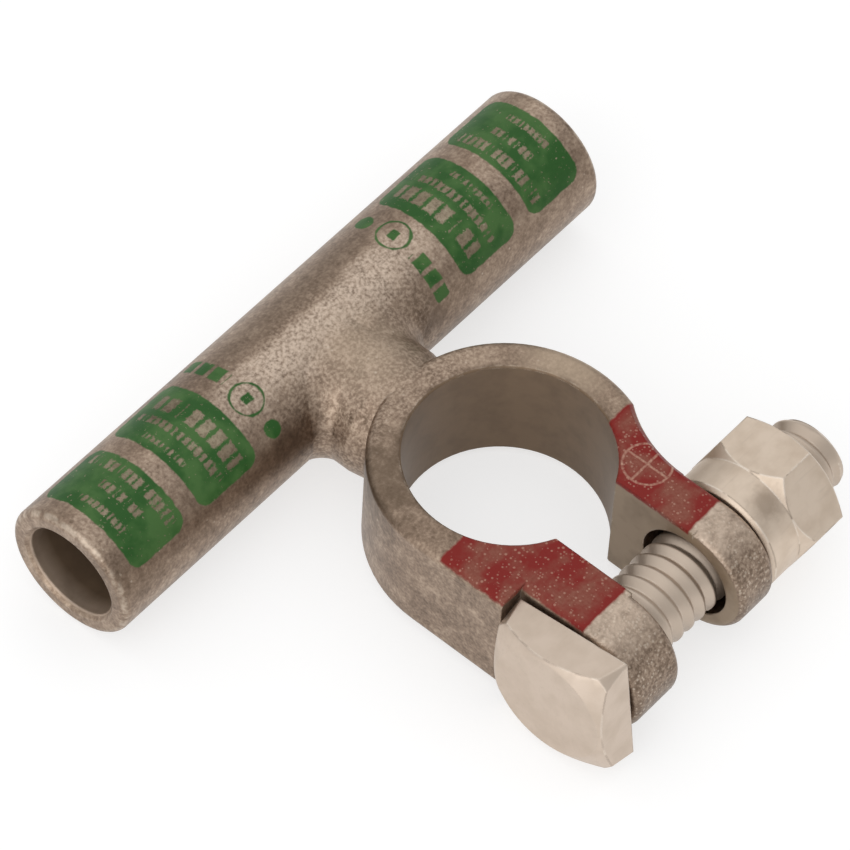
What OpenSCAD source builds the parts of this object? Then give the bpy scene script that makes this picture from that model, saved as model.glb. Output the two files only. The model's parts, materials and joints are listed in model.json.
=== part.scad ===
// Battery terminal connector with two in-line cable barrels, all sizes in millimetres.
// One casting carries the barrels, the neck, the split clamp ring and its two ears.
// A square-head bolt passes through both ears and a tall hexagon nut draws them together.
// The post bore stands on the Z axis with the underside of the ring at z = 0.
// The barrels and the bolt lie along X; the barrels are on the +Y side and the ears on the -Y side.

/* [Cable barrels] */
// Outside diameter of the barrels
barrel_d = 12.7; // [12.6:0.1:15]
// Length over both barrels
barrel_span = 60.6; // [54:0.2:80]
// Diameter of the bore that takes the cable
cable_bore_d = 8.9; // [6:0.1:10]
// Depth of each cable bore
cable_bore_depth = 22; // [12:0.5:25]
// Flare of the bore at its mouth
mouth_flare = 0.4; // [0.1:0.1:0.8]
// Rounding of the barrel ends
barrel_edge_r = 0.7; // [0.3:0.1:1.2]

/* [Clamp ring] */
// Bore that grips the battery post
post_d = 18; // [16:0.1:20]
// Wall of the ring
ring_wall = 2.9; // [2.4:0.1:4]
// Height of the ring and the ears
ring_h = 11.4; // [10.4:0.1:12.4]
// Rounding along the outer edges of the ring and the ears
edge_r = 0.8; // [0.3:0.1:1.2]
// Broken edge at both ends of the post bore
post_chamfer = 0.15; // [0.1:0.05:0.8]

/* [Neck] */
// Clear distance between the ring and the barrels
neck_len = 3.2; // [2.6:0.1:8]
// Diameter of the neck beside the barrels
neck_d = 12.1; // [10.6:0.1:12.5]
// Fillet between the neck and the barrels
neck_fillet = 1.7; // [0.8:0.1:2.2]
// Fillet between the neck and the ring
ring_fillet = 1.5; // [0.6:0.1:1.8]

/* [Ears] */
// Gap between the ears
slot_w = 7.8; // [6:0.1:9]
// Thickness of the ear under the bolt head
head_ear_t = 5.6; // [4:0.1:6]
// Thickness of the ear under the nut
nut_ear_t = 4.5; // [3.5:0.1:5.4]
// Distance from the post axis to the bolt axis
bolt_reach = 15.9; // [15:0.1:19]
// Distance from the bolt axis to the tips of the ears
ear_tip = 6.1; // [5.8:0.1:8]
// Radius of the hollow sweep that leads the ring into the nut ear
ear_sweep_r = 12; // [6:0.1:14]
// Depth to which that sweep bites into the ring
sweep_bite = 0.4; // [0.1:0.1:0.8]

/* [Bolt] */
// Diameter over the thread
bolt_d = 7.4; // [6:0.1:8]
// Length under the head
bolt_len = 30.7; // [29:0.1:40]
// Play of the bolt in its holes, all round
hole_play = 0.7; // [0.3:0.05:0.9]
// Width of the square head
head_w = 11.4; // [10:0.1:12]
// Thickness of the head
head_t = 3.9; // [3:0.1:5]
// Angle at which the loose head rests in its notch
head_turn = 8; // [0:1:8]
// Room between the head and the face it is drawn against
head_gap = 0.4; // [0.1:0.05:0.8]
// Room between the head's corner and the ledge that stops it turning
head_play = 0.25; // [0.15:0.05:0.8]

/* [Nut] */
// Width across the flats
nut_af = 11.5; // [10.6:0.1:12]
// Height of the nut
nut_h = 8.7; // [7.5:0.1:12]
// Length of the round collar under the flats
collar_h = 3.4; // [2:0.1:4]
// Play between the thread and the nut's bore, all round
thread_play = 0.05; // [0.02:0.01:0.09]
// Room between the nut and its ear
nut_gap = 0.15; // [0.05:0.05:0.4]
// Angle of the hexagon about the bolt
nut_angle = 22; // [0:1:59]

/* [Hidden] */
$fn = 96;
cut_past = 1;
chamfer_angle = 30;
collar_ramp_angle = 40;
collar_step = 0.05;
collar_bevel = 0.35;
bolt_end_chamfer = 0.9;
corner_back = 0.1;
corner_front = 0.6;
fillet_sink = 0.1;
fillet_inset = 0.3;
foot_inset = 0.15;

mid_z = ring_h / 2;
post_r = post_d / 2;
ring_r = post_r + ring_wall;
barrel_r = barrel_d / 2;
barrel_y = ring_r + neck_len + barrel_r;
neck_r = neck_d / 2;
neck_foot_r = min(neck_r, mid_z) - foot_inset;
neck_full_y = ring_r + neck_len / 4;
bolt_y = -bolt_reach;
ear_round_y = bolt_y - ear_tip + mid_z;
head_seat_x = -(slot_w / 2 + head_ear_t);
nut_seat_x = slot_w / 2 + nut_ear_t;
head_corner = head_w / 2 * (cos(head_turn) + sin(head_turn));
ledge_y = bolt_y + head_corner + head_play;
sweep_x = nut_seat_x + ear_sweep_r;
sweep_y = -sqrt(pow(ring_r - sweep_bite + ear_sweep_r, 2) - sweep_x * sweep_x);

// Turns a shape that stands along Z so that it lies along X.
module along_x() {
    rotate([0, 90, 0]) children();
}

// Turns a shape that stands along Z so that it lies along Y.
module along_y() {
    rotate([-90, 0, 0]) children();
}

// Rectangle from the origin with its two right-hand corners rounded.
module half_rounded_rect(w, h, r) {
    square([w - r, h]);
    translate([0, r]) square([w, h - 2 * r]);
    for (y = [r, h - r]) translate([w - r, y]) circle(r = r);
}

// Bar along Y from an inner to an outer X place, as high as the ring, rounded along its outer edges.
module cast_bar(x_in, x_out, y0, y1) {
    translate([x_in, y1, 0]) mirror([x_out < x_in ? 1 : 0, 0, 0]) rotate([90, 0, 0])
        linear_extrude(height = y1 - y0) half_rounded_rect(abs(x_out - x_in), ring_h, edge_r);
}

// Clamp ring, open between the ears.
module ring() {
    difference() {
        rotate_extrude() half_rounded_rect(ring_r, ring_h, edge_r);
        translate([-slot_w / 2 - edge_r, -ring_r - cut_past, -cut_past])
            cube([slot_w + 2 * edge_r, ring_r + cut_past, ring_h + 2 * cut_past]);
    }
}

// Ear from its inner to its outer face: a straight arm with a tip rounded about the bolt's direction.
module ear(x_in, x_out) {
    cast_bar(x_in, x_out, ear_round_y, -post_r / 2);
    translate([x_in, ear_round_y, mid_z]) mirror([x_out < x_in ? 1 : 0, 0, 0]) along_x()
        rotate_extrude() half_rounded_rect(mid_z, abs(x_out - x_in), edge_r);
}

// Thick side of the ring that ends in the ledge beside the bolt head.
module head_shoulder() {
    cast_bar(-post_r / 2, -ring_r, ledge_y, 0);
}

// Metal between the ring and the nut ear that the sweep is cut from.
module sweep_web() {
    near = ring_r / (ring_r - sweep_bite + ear_sweep_r);
    linear_extrude(height = ring_h) polygon([
        [post_r / 2, 0],
        [sweep_x * near, sweep_y * near],
        [nut_seat_x, sweep_y],
        [post_r / 2, sweep_y]
    ]);
}

// Tool that cuts the hollow sweep between the ring and the nut ear, flared at both ends.
module sweep_cut() {
    flare = edge_r * 0.6;
    translate([sweep_x, sweep_y, -cut_past]) cylinder(r = ear_sweep_r, h = ring_h + 2 * cut_past);
    for (side = [0, 1]) translate([sweep_x, sweep_y, side * ring_h]) mirror([0, 0, side])
        translate([0, 0, -cut_past])
            cylinder(r1 = ear_sweep_r + flare + cut_past, r2 = ear_sweep_r, h = flare + cut_past);
}

// Neck that narrows to the ring's height where it enters the ring.
module neck() {
    foot_y = post_r + ring_wall / 4;
    translate([0, foot_y, mid_z]) along_y()
        cylinder(r1 = neck_foot_r, r2 = neck_r, h = neck_full_y - foot_y);
    translate([0, neck_full_y, mid_z]) along_y() cylinder(r = neck_r, h = barrel_y - neck_full_y);
}

// Elbow that fillets the corner between the neck and the barrel on the +X side.
module neck_corner() {
    r = min(neck_fillet, barrel_y - barrel_r - neck_full_y);
    pipe_r = neck_r - fillet_inset;
    cx = neck_r + r - fillet_sink;
    cy = barrel_y - barrel_r - r + fillet_sink;
    intersection() {
        translate([cx, cy, mid_z]) rotate_extrude() translate([r + pipe_r, 0]) circle(r = pipe_r);
        translate([cx - r - 2 * pipe_r - cut_past, cy, mid_z - pipe_r - cut_past])
            cube([r + 2 * pipe_r + cut_past, r + 2 * pipe_r + cut_past, 2 * pipe_r + 2 * cut_past]);
    }
}

// Elbow that fillets the corner between the neck and the ring on the +X side.
module ring_corner() {
    pipe_r = neck_foot_r;
    cx = (neck_foot_r + neck_r) / 2 + ring_fillet - fillet_sink;
    cy = sqrt(pow(ring_r + ring_fillet - fillet_sink, 2) - cx * cx);
    intersection() {
        translate([cx, cy, mid_z]) rotate_extrude() translate([ring_fillet + pipe_r, 0]) circle(r = pipe_r);
        translate([0, 0, mid_z - pipe_r - cut_past]) linear_extrude(height = 2 * pipe_r + 2 * cut_past)
            polygon([[cx, cy], [0, cy], [0, 0]]);
    }
}

// Tool that cuts the post bore, its edges broken at both ends.
module post_cut() {
    translate([0, 0, -cut_past]) cylinder(r = post_r, h = ring_h + 2 * cut_past);
    for (side = [0, 1]) translate([0, 0, side * ring_h]) mirror([0, 0, side])
        translate([0, 0, -cut_past])
            cylinder(r1 = post_r + post_chamfer + cut_past, r2 = post_r, h = post_chamfer + cut_past);
}

// Tool that cuts one blind cable bore, its mouth facing +X.
module cable_cut() {
    mouth_x = barrel_span / 2;
    translate([mouth_x - cable_bore_depth, barrel_y, mid_z]) along_x()
        cylinder(d = cable_bore_d, h = cable_bore_depth + cut_past);
    translate([mouth_x - mouth_flare, barrel_y, mid_z]) along_x()
        cylinder(d1 = cable_bore_d, d2 = cable_bore_d + 2 * (mouth_flare + cut_past), h = mouth_flare + cut_past);
}

// Both cable barrels as one bar with rounded ends.
module barrels() {
    translate([-barrel_span / 2, barrel_y, mid_z]) along_x()
        rotate_extrude() half_rounded_rect(barrel_r, barrel_span, barrel_edge_r);
}

// Casting: barrels, neck, ring and ears in one piece.
module connector_body() {
    color([0.60, 0.56, 0.52]) difference() {
        union() {
            barrels();
            neck();
            for (side = [0, 1]) mirror([side, 0, 0]) {
                neck_corner();
                ring_corner();
            }
            ring();
            head_shoulder();
            ear(-slot_w / 2, head_seat_x);
            ear(slot_w / 2, nut_seat_x);
            sweep_web();
        }
        sweep_cut();
        post_cut();
        for (side = [0, 1]) mirror([side, 0, 0]) cable_cut();
        translate([head_seat_x - cut_past, bolt_y, mid_z]) along_x()
            cylinder(r = bolt_d / 2 + hole_play, h = nut_seat_x - head_seat_x + 2 * cut_past);
    }
}

// Square head with its outer face turned to a cone, standing on z = 0.
module square_head() {
    face_r = 0.475 * head_w;
    corner_r = head_w / sqrt(2) - corner_front;
    skirt_h = head_t - (corner_r - face_r) * tan(chamfer_angle);
    intersection() {
        translate([-head_w / 2, -head_w / 2, 0]) cube([head_w, head_w, head_t]);
        union() {
            cylinder(r1 = head_w / sqrt(2) - corner_back, r2 = corner_r, h = skirt_h);
            translate([0, 0, skirt_h]) cylinder(r1 = corner_r, r2 = face_r, h = head_t - skirt_h);
        }
    }
}

// Bolt with its square head on the -X side and a chamfered end.
module clamp_bolt() {
    plain_len = bolt_len - bolt_end_chamfer;
    color([0.80, 0.78, 0.75]) translate([head_seat_x - head_gap, bolt_y, mid_z]) rotate([-head_turn, 0, 0]) {
        along_x() cylinder(d = bolt_d, h = plain_len);
        translate([plain_len, 0, 0]) along_x()
            cylinder(d1 = bolt_d, d2 = bolt_d - 2 * bolt_end_chamfer, h = bolt_end_chamfer);
        mirror([1, 0, 0]) along_x() square_head();
    }
}

// Turned outline of the nut: collar, ramp up to the corners and chamfered outer end.
module nut_blank() {
    flat_r = nut_af / 2;
    corner_r = flat_r / cos(30) + cut_past;
    collar_r = flat_r - collar_step;
    face_r = 0.94 * flat_r;
    ramp_h = (corner_r - collar_r) / tan(collar_ramp_angle);
    chamfer_h = (corner_r - face_r) * tan(chamfer_angle);
    rotate_extrude() polygon([
        [0, 0],
        [collar_r - collar_bevel, 0],
        [collar_r, collar_bevel],
        [collar_r, collar_h],
        [corner_r, collar_h + ramp_h],
        [corner_r, nut_h - chamfer_h],
        [face_r, nut_h],
        [0, nut_h]
    ]);
}

// Hexagon nut on a round collar, the collar against the nut ear.
module clamp_nut() {
    color([0.78, 0.74, 0.69]) translate([nut_seat_x + nut_gap, bolt_y, mid_z]) rotate([nut_angle, 0, 0]) along_x()
        difference() {
            intersection() {
                nut_blank();
                cylinder(r = nut_af / 2 / cos(30), h = nut_h, $fn = 6);
            }
            translate([0, 0, -cut_past]) cylinder(r = bolt_d / 2 + thread_play, h = nut_h + 2 * cut_past);
        }
}

connector_body();
clamp_bolt();
clamp_nut();
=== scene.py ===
"""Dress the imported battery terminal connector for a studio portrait.

The casting keeps its solid and takes a tinned skin, sandy at the neck and the ear tips, with green ink on
the barrels and worn red paint on the ears. The bolt is modelled again with its rolled thread, and the tall
nut keeps its solid under a plated finish. Sizes are in millimetres, and MM turns them to the frame's metres.
"""

from __future__ import annotations

import json
import logging
import math
from dataclasses import dataclass, replace
from enum import Enum
from typing import Any

import bpy
from mathutils import Matrix, Vector

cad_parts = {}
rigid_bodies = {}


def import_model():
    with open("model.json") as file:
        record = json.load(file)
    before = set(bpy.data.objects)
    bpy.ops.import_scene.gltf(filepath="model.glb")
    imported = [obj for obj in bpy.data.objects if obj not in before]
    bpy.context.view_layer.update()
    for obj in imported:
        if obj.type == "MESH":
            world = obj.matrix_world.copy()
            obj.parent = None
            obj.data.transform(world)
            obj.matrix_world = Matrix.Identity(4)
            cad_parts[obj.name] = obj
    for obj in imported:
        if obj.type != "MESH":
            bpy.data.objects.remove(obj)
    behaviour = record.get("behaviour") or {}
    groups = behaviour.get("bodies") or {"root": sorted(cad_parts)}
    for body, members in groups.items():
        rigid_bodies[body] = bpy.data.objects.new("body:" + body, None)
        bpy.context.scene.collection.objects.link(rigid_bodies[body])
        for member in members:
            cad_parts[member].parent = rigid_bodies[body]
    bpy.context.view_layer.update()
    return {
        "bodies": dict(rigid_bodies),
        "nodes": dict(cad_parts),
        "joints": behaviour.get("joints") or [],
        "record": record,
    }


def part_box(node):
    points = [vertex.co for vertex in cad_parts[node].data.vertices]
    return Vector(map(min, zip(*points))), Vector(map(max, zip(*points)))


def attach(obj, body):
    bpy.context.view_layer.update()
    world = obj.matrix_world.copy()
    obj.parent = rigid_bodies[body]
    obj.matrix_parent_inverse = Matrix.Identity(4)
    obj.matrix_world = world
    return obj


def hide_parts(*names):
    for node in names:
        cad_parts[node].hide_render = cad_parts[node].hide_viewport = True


MM = 0.001
PER_MM = 1000.0
DULL_SPECULAR = 0.2
LOG = logging.getLogger("battery_terminal_connector")

Socket = bpy.types.NodeSocket
Tree = bpy.types.NodeTree


class Node(Enum):
    """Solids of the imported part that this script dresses."""

    CASTING = "connector_body"
    BOLT = "clamp_bolt"
    NUT = "clamp_nut"


class Body(Enum):
    """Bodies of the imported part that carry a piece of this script."""

    BOLT = "bolt"


def linear(hex_colour: str) -> tuple[float, float, float, float]:
    """Turn an sRGB hex colour to linear light.

    Args:
        hex_colour: Six hex digits after a hash sign.

    Returns:
        Red, green, blue and a full alpha.
    """
    parts = [int(hex_colour[i : i + 2], 16) / 255 for i in (1, 3, 5)]
    light = [p / 12.92 if p <= 0.04045 else ((p + 0.055) / 1.055) ** 2.4 for p in parts]
    return (light[0], light[1], light[2], 1.0)


def add_node(tree: Tree, kind: str, settings: dict[str, Any], links: dict[Any, Any]) -> bpy.types.Node:
    """Add a shader node with its settings and its links.

    Args:
        tree: The node tree that takes the node.
        kind: Blender's name of the node's type.
        settings: Properties of the node by name.
        links: A socket to link from, or a plain value, for each input by name or number.

    Returns:
        The new node.
    """
    node = tree.nodes.new(kind)
    for name, value in settings.items():
        setattr(node, name, value)
    for key, source in links.items():
        if isinstance(source, Socket):
            tree.links.new(source, node.inputs[key])
        else:
            node.inputs[key].default_value = source
    return node


def new_tree(name: str) -> tuple[bpy.types.Material, Tree]:
    """Make an empty node material.

    Args:
        name: The material's name.

    Returns:
        The material and its node tree.
    """
    material = bpy.data.materials.new(name)
    material.use_nodes = True
    material.node_tree.nodes.clear()
    return material, material.node_tree


def overlap(tree: Tree, masks: list[Any]) -> Socket:
    """Multiply masks, so that the result shows only where all of them do.

    Args:
        tree: The node tree to work in.
        masks: Sockets, or plain numbers that weaken the rest.

    Returns:
        The common mask.
    """
    common = masks[0]
    for other in masks[1:]:
        links = {0: common, 1: other}
        common = add_node(tree, "ShaderNodeMath", {"operation": "MULTIPLY"}, links).outputs[0]
    return common


def cover(tree: Tree, distances: list[Socket], edge: float) -> Socket:
    """Turn the distances from one or more shapes to a mask.

    Args:
        tree: The node tree to work in.
        distances: How far a point lies outside each shape, below 0 inside.
        edge: Half the width of the mask's soft edge.

    Returns:
        1 inside any of the shapes, 0 outside all of them.
    """
    near = distances[0]
    for other in distances[1:]:
        near = add_node(tree, "ShaderNodeMath", {"operation": "MINIMUM"}, {0: near, 1: other}).outputs[0]
    span = {"Value": near, "From Min": edge, "From Max": -edge}
    return add_node(tree, "ShaderNodeMapRange", {}, span).outputs[0]


def lumps(tree: Tree, at: Socket, sizes: dict[str, float]) -> dict[str, Socket]:
    """Add even noise at several real sizes.

    Args:
        tree: The node tree to work in.
        at: The place in millimetres.
        sizes: The size of one lump by name.

    Returns:
        Noise from 0 to 1 by name.
    """
    found = {}
    for name, size in sizes.items():
        links = {"Vector": at, "Scale": 1 / size, "Detail": 3.0, "Roughness": 0.55}
        found[name] = add_node(tree, "ShaderNodeTexNoise", {}, links).outputs[0]
    return found


def specks(tree: Tree, at: Socket, spacing: float, share: float, size: float) -> Socket:
    """Scatter round specks of different sizes.

    Args:
        tree: The node tree to work in.
        at: The place in millimetres.
        spacing: The distance between neighbours.
        share: The share of places that hold a speck.
        size: The radius of the largest speck.

    Returns:
        1 in a speck, 0 elsewhere.
    """
    cells = add_node(tree, "ShaderNodeTexVoronoi", {}, {"Vector": at, "Scale": 1 / spacing})
    parts = add_node(tree, "ShaderNodeSeparateColor", {}, {0: cells.outputs["Color"]})
    # A reach below 0 leaves the place empty.
    span = {"From Min": 1 - share, "From Max": 1.0, "To Min": -0.1, "To Max": size / spacing}
    reach = add_node(tree, "ShaderNodeMapRange", {}, {"Value": parts.outputs[0], **span})
    links = {0: cells.outputs["Distance"], 1: reach.outputs[0]}
    off = add_node(tree, "ShaderNodeMath", {"operation": "SUBTRACT"}, links)
    return cover(tree, [off.outputs[0]], edge=0.08)


@dataclass(frozen=True)
class Trait:
    """Something that shows more or less fully along a measure, with its shares at both ends."""

    measure: Socket
    start: float
    stop: float
    first: float = 0.0
    last: float = 1.0


def shares(tree: Tree, traits: dict[str, Trait]) -> dict[str, Socket]:
    """Work out how fully each trait shows.

    Args:
        tree: The node tree to work in.
        traits: The traits by name.

    Returns:
        The share of each trait by name.
    """
    found = {}
    for name, trait in traits.items():
        links = {"Value": trait.measure, "From Min": trait.start, "From Max": trait.stop}
        links |= {"To Min": trait.first, "To Max": trait.last}
        found[name] = add_node(tree, "ShaderNodeMapRange", {}, links).outputs[0]
    return found


def near_edge(tree: Tree, rounded: Socket, start: float, full: float) -> Socket:
    """Mark the edges by how far the bevel node turns the normal there.

    Args:
        tree: The node tree to work in.
        rounded: The normal as the bevel node rounds it.
        start: The cosine of the turn at which the mark begins.
        full: The cosine of the turn at which it is full.

    Returns:
        1 on an edge, 0 away from it.
    """
    true_normal = add_node(tree, "ShaderNodeNewGeometry", {}, {}).outputs["Normal"]
    links = {0: rounded, 1: true_normal}
    same = add_node(tree, "ShaderNodeVectorMath", {"operation": "DOT_PRODUCT"}, links).outputs["Value"]
    links = {"Value": same, "From Min": start, "From Max": full}
    return add_node(tree, "ShaderNodeMapRange", {}, links).outputs[0]


@dataclass(frozen=True)
class Coat:
    """A finish that lies over the ones before it, where its mask shows."""

    mask: Any
    colour: Any
    metallic: float
    roughness: float


@dataclass(frozen=True)
class Finish:
    """How a coat looks, and how fully it hides what lies under it."""

    colour: str
    metallic: float
    roughness: float
    strength: float = 1.0

    def coat(self, tree: Tree, masks: list[Any]) -> Coat:
        """Lay the finish where all the masks show.

        Args:
            tree: The node tree to work in.
            masks: Where the finish may lie.

        Returns:
            The finish as a coat.
        """
        weaker = [self.strength] if self.strength < 1.0 else []
        mask = overlap(tree, [*masks, *weaker])
        return Coat(mask, linear(self.colour), self.metallic, self.roughness)


def shade(tree: Tree, coats: list[Coat], normal: Socket) -> None:
    """Lay coats over one another and end the material with them.

    Args:
        tree: The node tree to work in.
        coats: The ground and the coats on it, in order.
        normal: The surface's normal with its relief.
    """
    ground = coats[0]
    seen = {"Base Color": ground.colour, "Metallic": ground.metallic, "Roughness": ground.roughness}
    for coat in coats[1:]:
        over = {"Base Color": coat.colour, "Metallic": coat.metallic, "Roughness": coat.roughness}
        for name, value in over.items():
            # What is the same all over stays a plain value on the shader's own socket.
            if value == seen[name]:
                continue
            kind, first, out = ("RGBA", 6, 2) if name == "Base Color" else ("FLOAT", 2, 0)
            links = {0: coat.mask, first: seen[name], first + 1: value}
            seen[name] = add_node(tree, "ShaderNodeMix", {"data_type": kind}, links).outputs[out]
    links = {**seen, "Specular IOR Level": DULL_SPECULAR, "Normal": normal}
    shader = add_node(tree, "ShaderNodeBsdfPrincipled", {}, links)
    add_node(tree, "ShaderNodeOutputMaterial", {}, {"Surface": shader.outputs[0]})


@dataclass(frozen=True)
class Blotch:
    """A spot with a soft, uneven edge, which ends and is full at given shares of its radius."""

    centre: tuple[float, float, float]
    radius: float
    colour: str
    strength: float
    ends: float = 1.5
    full: float = 0.8

    def coat(self, tree: Tree, at: Socket, uneven: Socket, ground: Coat) -> Coat:
        """Turn the spot to a coat with the ground's shine.

        Args:
            tree: The node tree to work in.
            at: The place in millimetres.
            uneven: Noise that frays the spot's edge.
            ground: The coat that the spot lies on.

        Returns:
            The spot's coat.
        """
        reach = add_node(tree, "ShaderNodeVectorMath", {"operation": "DISTANCE"}, {0: at, 1: self.centre})
        links = {0: uneven, 1: self.radius, 2: reach.outputs["Value"]}
        frayed = add_node(tree, "ShaderNodeMath", {"operation": "MULTIPLY_ADD"}, links).outputs[0]
        spot = Trait(frayed, self.ends * self.radius, self.full * self.radius, 0.0, self.strength)
        mask = shares(tree, {"spot": spot})["spot"]
        return Coat(mask, linear(self.colour), ground.metallic, ground.roughness)


@dataclass(frozen=True)
class Places:
    """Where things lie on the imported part."""

    barrel_y: float
    barrel_z: float
    barrel_r: float
    barrel_end: float
    cable_r: float
    post_r: float
    bolt_y: float
    bolt_z: float
    head_front: float
    bolt_end: float
    floor_z: float
    ring_top: float = 11.4
    slot_half: float = 3.9
    head_t: float = 3.9
    bolt_r: float = 3.7

    @classmethod
    def from_frame(cls, frame: dict[str, Any]) -> Places:
        """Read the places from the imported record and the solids' boxes.


        Returns:
            The places in millimetres.
        """
        mounts = {mount["name"]: mount for mount in frame["record"]["mounts"]}
        turn = next(joint for joint in frame["joints"] if joint["name"] == "nut_turn")
        low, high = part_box(Node.CASTING.value)
        bolt_low, bolt_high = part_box(Node.BOLT.value)
        cable = mounts["cable_bore_right"]
        return cls(
            barrel_y=cable["pos_m"][1] * PER_MM,
            barrel_z=cable["pos_m"][2] * PER_MM,
            barrel_r=(high.z - low.z) / 2 * PER_MM,
            barrel_end=high.x * PER_MM,
            cable_r=cable["dims"]["r_mm"],
            post_r=mounts["post_bore"]["dims"]["r_mm"],
            bolt_y=turn["pos_m"][1] * PER_MM,
            bolt_z=turn["pos_m"][2] * PER_MM,
            head_front=bolt_low.x * PER_MM,
            bolt_end=bolt_high.x * PER_MM,
            floor_z=min(low.z, bolt_low.z) * PER_MM,
        )


@dataclass(frozen=True)
class Survey:
    """Where a shaded point lies on the casting, as sockets in millimetres."""

    tree: Tree
    at: Socket
    flat: Socket
    x: Socket
    y: Socket
    z: Socket
    out: Socket
    from_post: Socket
    from_barrel: Socket
    angle: Socket

    @classmethod
    def make(cls, tree: Tree, places: Places) -> Survey:
        """Add the nodes that measure the place.

        Args:
            tree: The node tree to work in.
            places: Where things lie on the part.

        Returns:
            The measured place.
        """
        coords = add_node(tree, "ShaderNodeTexCoord", {}, {}).outputs["Object"]
        links = {"Vector": coords, "Scale": (PER_MM, PER_MM, PER_MM)}
        at = add_node(tree, "ShaderNodeMapping", {}, links).outputs[0]
        links = {0: at, 1: (1.0, 1.0, 0.0)}
        flat = add_node(tree, "ShaderNodeVectorMath", {"operation": "MULTIPLY"}, links).outputs[0]
        parts = add_node(tree, "ShaderNodeSeparateXYZ", {}, {0: at})
        out = add_node(tree, "ShaderNodeMath", {"operation": "ABSOLUTE"}, {0: parts.outputs[0]})
        from_post = add_node(tree, "ShaderNodeVectorMath", {"operation": "LENGTH"}, {0: flat})
        links = {0: at, 1: (0.0, places.barrel_y, places.barrel_z)}
        beside = add_node(tree, "ShaderNodeVectorMath", {"operation": "SUBTRACT"}, links).outputs[0]
        links = {0: beside, 1: (0.0, 1.0, 1.0)}
        around = add_node(tree, "ShaderNodeVectorMath", {"operation": "MULTIPLY"}, links)
        from_barrel = add_node(tree, "ShaderNodeVectorMath", {"operation": "LENGTH"}, {0: around.outputs[0]})
        sides = add_node(tree, "ShaderNodeSeparateXYZ", {}, {0: beside})
        links = {0: sides.outputs[2], 1: sides.outputs[1]}
        angle = add_node(tree, "ShaderNodeMath", {"operation": "ARCTAN2"}, links)
        return cls(
            tree=tree,
            at=at,
            flat=flat,
            x=parts.outputs[0],
            y=parts.outputs[1],
            z=parts.outputs[2],
            out=out.outputs[0],
            from_post=from_post.outputs["Value"],
            from_barrel=from_barrel.outputs["Value"],
            angle=angle.outputs[0],
        )

    def past(self, measure: Socket, limit: float, uneven: Any = 0.0) -> Socket:
        """Measure how far a point lies past a limit, with an uneven border.

        Args:
            measure: One of the measured places.
            limit: The limit in the same direction.
            uneven: What the border wanders by.

        Returns:
            The distance, below 0 on the near side.
        """
        step = add_node(self.tree, "ShaderNodeMath", {"operation": "SUBTRACT"}, {0: measure, 1: limit})
        wander = add_node(self.tree, "ShaderNodeMath", {"operation": "ADD"}, {0: step.outputs[0], 1: uneven})
        return wander.outputs[0]

    def before(self, measure: Socket, limit: float, uneven: Any = 0.0) -> Socket:
        """Measure how far a point falls short of a limit, with an uneven border.

        Args:
            measure: One of the measured places.
            limit: The limit in the same direction.
            uneven: What the border wanders by.

        Returns:
            The distance, below 0 on the far side.
        """
        step = add_node(self.tree, "ShaderNodeMath", {"operation": "SUBTRACT"}, {0: limit, 1: measure})
        wander = add_node(self.tree, "ShaderNodeMath", {"operation": "ADD"}, {0: step.outputs[0], 1: uneven})
        return wander.outputs[0]


@dataclass(frozen=True)
class Field:
    """A rounded rectangle on a flat or rolled-out surface."""

    centre: tuple[float, float]
    half: tuple[float, float]
    corner: float

    def distance(self, tree: Tree, place: Socket) -> Socket:
        """Measure how far a point lies outside the field.

        Args:
            tree: The node tree to work in.
            place: The point's two coordinates, with a third of 0.

        Returns:
            The distance, below 0 inside.
        """
        middle = (self.centre[0], self.centre[1], 0.0)
        inner = (self.half[0] - self.corner, self.half[1] - self.corner, 0.0)
        shift = add_node(tree, "ShaderNodeVectorMath", {"operation": "SUBTRACT"}, {0: place, 1: middle})
        fold = add_node(tree, "ShaderNodeVectorMath", {"operation": "ABSOLUTE"}, {0: shift.outputs[0]})
        links = {0: fold.outputs[0], 1: inner}
        past = add_node(tree, "ShaderNodeVectorMath", {"operation": "SUBTRACT"}, links)
        outside = add_node(tree, "ShaderNodeVectorMath", {"operation": "MAXIMUM"}, {0: past.outputs[0]})
        reach = add_node(tree, "ShaderNodeVectorMath", {"operation": "LENGTH"}, {0: outside.outputs[0]})
        links = {0: reach.outputs["Value"], 1: self.corner}
        return add_node(tree, "ShaderNodeMath", {"operation": "SUBTRACT"}, links).outputs[0]


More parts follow.
